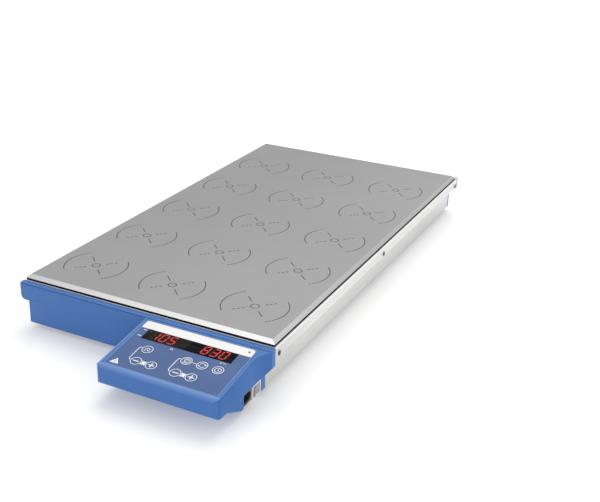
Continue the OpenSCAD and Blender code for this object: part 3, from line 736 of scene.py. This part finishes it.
def wave(u, v, length, height, turns, steps=16):
    return [(u - length / 2 + length * i / steps, v + height * math.sin(2 * math.pi * turns * i / steps))
            for i in range(steps + 1)]


def symbol_heat(pen, x, s):
    pen.stroke(wave(x, s - 1.3, 5.6, 0.8, 1.5), KEY_LINE)
    pen.stroke(wave(x, s + 1.3, 5.6, 0.8, 1.5), KEY_LINE)


def symbol_stir(pen, x, s):
    pen.arc(x, s, 3.2, 200, 500, KEY_LINE)
    pen.arc(x, s, 1.7, 20, 320, KEY_LINE)


def symbol_reverse(pen, x, s):
    pen.arc(x, s, 2.7, 200, 340, 0.65)
    pen.arc(x, s, 2.7, 20, 160, 0.65)
    pen.fill([(x + 3.2, s + 0.1), (x + 1.5, s - 1.6), (x + 3.6, s - 1.9)])
    pen.fill([(x - 3.2, s - 0.1), (x - 1.5, s + 1.6), (x - 3.6, s + 1.9)])


def symbol_timer(pen, x, s):
    pen.arc(x, s + 0.2, 2.9, 0, 360, KEY_LINE, 24)
    pen.stroke([(x, s - 1.6), (x, s + 0.3), (x + 1.4, s + 1.0)], 0.6)


def symbol_minus(pen, x, s):
    pen.stroke([(x - SIGN_HALF, s), (x + SIGN_HALF, s)], SIGN_LINE)


def symbol_plus(pen, x, s):
    symbol_minus(pen, x, s)
    pen.stroke([(x, s - SIGN_HALF), (x, s - SIGN_LINE / 2)], SIGN_LINE)
    pen.stroke([(x, s + SIGN_LINE / 2), (x, s + SIGN_HALF)], SIGN_LINE)


SYMBOLS = {"key_heat": symbol_heat, "key_temp_down": symbol_minus, "key_temp_up": symbol_plus,
           "key_stir": symbol_stir, "key_reverse": symbol_reverse, "key_timer": symbol_timer,
           "key_speed_down": symbol_minus, "key_speed_up": symbol_plus}
body_of = {node: body for body, nodes in record["behaviour"]["bodies"].items() for node in nodes}
for key_name in KEYS:
    at = centre(key_name)
    key_x = at.x / MM
    key_s = ROW_UP + (at - centre("key_heat")).dot(PANEL_DOWN) / MM
    key_print = Print(on_panel, KEY_PROUD - 0.02, KEY_PROUD + 0.03)
    key_print.arc(key_x, key_s, KEY_RING_R, 0, 360, KEY_LINE, 40)
    SYMBOLS[key_name](key_print, key_x, key_s)
    key_print.done(key_name + "_print", PRINT_WHITE, body_of[key_name])


# ---- Digits on the display ----

DIGIT_W, DIGIT_H = 5.6, 10.2
DIGIT_BAR = 1.35
DIGIT_SLANT = 0.13
DIGIT_GAP = 0.18
DIGIT_STEP = 9.0
DIGIT_FOOT = 25.8
READINGS = ((7.2, "105"), (59.2, "830"))        # from the window's left edge, and what stands there
LIT = {"0": "abcdef", "1": "bc", "3": "abgcd", "5": "afgcd", "8": "abcdefg"}


def segment(pen, start, end):
    """A straight bar with pointed ends."""
    a, b = Vector(start), Vector(end)
    along = (b - a).normalized() * DIGIT_BAR / 2
    side = Vector((-along.y, along.x))
    outline = (a, a + along + side, b - along + side, b, b - along - side, a + along - side)
    pen.fill([tuple(point) for point in outline])


def segment_ends():
    """The seven segments' ends, from the digit's lower left corner, before the slant."""
    w, h, middle, g = DIGIT_W, DIGIT_H, DIGIT_H / 2, DIGIT_GAP
    return {"a": ((g, h), (w - g, h)), "g": ((g, middle), (w - g, middle)), "d": ((g, 0), (w - g, 0)),
            "f": ((0, middle + g), (0, h - g)), "b": ((w, middle + g), (w, h - g)),
            "e": ((0, g), (0, middle - g)), "c": ((w, g), (w, middle - g))}


def digit(lit, unlit, char, x):
    """One digit, leaning to the right; x is its lower left corner."""
    def at(u, v):
        return x + u + DIGIT_SLANT * v, DIGIT_FOOT - v

    for name, (start, end) in segment_ends().items():
        segment(lit if name in LIT[char] else unlit, at(*start), at(*end))


lit_print = Print(on_panel, -0.02, 0.04)
unlit_print = Print(on_panel, -0.02, 0.02)
window_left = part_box("display_window")[0].x / MM
for start, text in READINGS:
    for i, char in enumerate(text):
        digit(lit_print, unlit_print, char, window_left + start + DIGIT_STEP * i)
lit_print.disc(window_left + 2.9, 16.9, 0.6, 16)
lit_print.done("display_digits", DIGIT_RED, "body")
unlit_print.done("display_digits_off", DIGIT_GHOST, "body")


# ---- Metal sleeves on the inlet's pins ----

# In mm; the pins and the mouth's depth as in the CAD
PIN_R = 1.2
PIN_GAP = 8.6
PIN_L = 8.0
PIN_STEPS = 20
MOUTH_DEPTH = 13.5
SLEEVE = 0.03


def pin_sleeve(bm, low, high, side):
    """A closed tube round one pin, rounded at its tip; side is -1 or 1."""
    middle = (low + high) / 2
    root = high.x / MM - MOUTH_DEPTH + 0.05
    tip = root + PIN_L
    profile = ((root, PIN_R + SLEEVE), (tip - 0.5, PIN_R + SLEEVE), (tip - 0.1, PIN_R - 0.15),
               (tip + 0.05, PIN_R - 0.5))
    rings = []
    for x, r in profile:
        round_pin = [polar(side * PIN_GAP / 2, 0, r, 360 * i / PIN_STEPS) for i in range(PIN_STEPS)]
        rings.append([bm.verts.new((x * MM, middle.y + u * MM, middle.z + v * MM)) for u, v in round_pin])
    for here, after in zip(rings, rings[1:]):
        for i, j in neighbours(PIN_STEPS):
            bm.faces.new((here[i], here[j], after[j], after[i]))
    bm.faces.new(rings[0][::-1])
    bm.faces.new(rings[-1])


pins = bmesh.new()
for side in (-1, 1):
    pin_sleeve(pins, *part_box("inlet_socket"), side)
add_piece(pins, "inlet_pins", PIN_METAL, "body").data.shade_smooth()


# ---- Camera, floor and light ----

EYE = (0.46419, -0.87357, 0.45819)
CAMERA_TURNS = (65.7266, -0.7854, 28.4804)      # degrees about X, then Y, then Z
LENS = 58.606
SENSOR = 36.0
SHIFT = (0.0821, 0.0191)
FLOOR_R = 14.0
FLOOR_STEPS = 64
FLOOR = (0.74, 0.74, 0.74)
FLOOR_GLOW = 0.22
WORLD = (1.0, 0.996, 0.988, 1.0)
WORLD_GLOW = 0.78


def add_camera():
    data = bpy.data.cameras.new("camera")
    data.lens = LENS
    data.sensor_width = SENSOR
    data.shift_x, data.shift_y = SHIFT
    data.clip_start, data.clip_end = 0.05, 60.0
    camera = bpy.data.objects.new("camera", data)
    scene.collection.objects.link(camera)
    turns = Euler([math.radians(a) for a in CAMERA_TURNS])
    camera.matrix_world = Matrix.LocRotScale(Vector(EYE), turns, None)
    scene.camera = camera


def floor_material():
    """Plain pale paint that gives off a little light, so that it comes out near white."""
    material = surface("floor_paint", FLOOR, 0.85, spread=0.006, grain=60, grain_bump=0.02,
                       rough_spread=0.04, specular=0.2)
    bsdf = material.node_tree.nodes["Principled BSDF"]
    bsdf.inputs["Emission Color"].default_value = (1.0, 1.0, 1.0, 1.0)
    bsdf.inputs["Emission Strength"].default_value = FLOOR_GLOW
    return material


def add_floor():
    bm = bmesh.new()
    rim = [polar(0, 0, FLOOR_R, 360 * i / FLOOR_STEPS) for i in range(FLOOR_STEPS)]
    bm.faces.new([bm.verts.new((x, y, 0)) for x, y in rim])
    mesh = bpy.data.meshes.new("floor")
    bm.to_mesh(mesh)
    bm.free()
    mesh.materials.append(floor_material())
    floor = bpy.data.objects.new("floor", mesh)
    scene.collection.objects.link(floor)


def add_world():
    world = bpy.data.worlds.new("world")
    scene.world = world
    world.use_nodes = True
    background = world.node_tree.nodes["Background"]
    background.inputs["Color"].default_value = WORLD
    background.inputs["Strength"].default_value = WORLD_GLOW


def add_light(name, place, target, size, power):
    """A rectangular soft light, from place towards target."""
    data = bpy.data.lights.new(name, "AREA")
    data.shape = "RECTANGLE"
    data.size, data.size_y = size
    data.energy = power
    light = bpy.data.objects.new(name, data)
    scene.collection.objects.link(light)
    light.location = place
    light.rotation_euler = (Vector(target) - Vector(place)).to_track_quat("-Z", "Y").to_euler()


add_camera()
add_floor()
add_world()
add_light("key", (-0.3, 1.2, 2.5), (0, 0, 0), (2.2, 2.2), 38.0)
add_light("fill_right", (2.2, -0.6, 1.0), (0.1, 0, 0.02), (1.4, 1.2), 6.5)
add_light("fill_front", (-0.6, -2.4, 1.1), (0, -0.2, 0.02), (2.4, 1.4), 13.0)

scene.view_settings.view_transform = "Standard"
scene.view_settings.look = "None"
scene.view_settings.exposure = 0.0
scene.view_settings.gamma = 1.0
